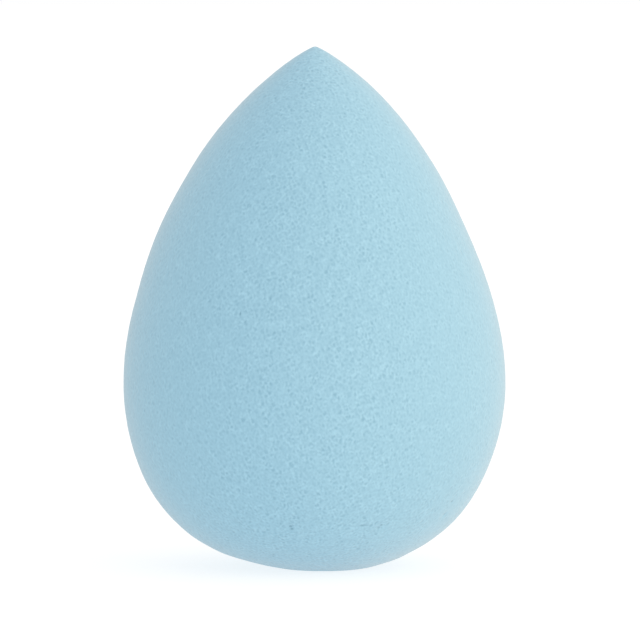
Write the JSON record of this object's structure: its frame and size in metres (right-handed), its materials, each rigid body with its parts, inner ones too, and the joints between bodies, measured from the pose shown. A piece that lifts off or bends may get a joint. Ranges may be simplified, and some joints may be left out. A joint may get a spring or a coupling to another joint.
{
  "type": "makeup sponge",
  "caption": "Teardrop makeup sponge of soft matte foam, pointed at the top and round at the belly, that stands on a small flat foot.",
  "frame": {"origin": "centre of the flat foot that the sponge stands on", "axes": "+Z from the foot up to the point, along the axis that the form is turned about; +X to the picture's right; +Y away from its camera"},
  "size_m": [0.044, 0.044, 0.06],
  "materials": {
    "foam": "soft open-cell foam"
  },
  "bodies": {
    "root": {"sponge_body": "foam"}
  },
  "joints": []
}
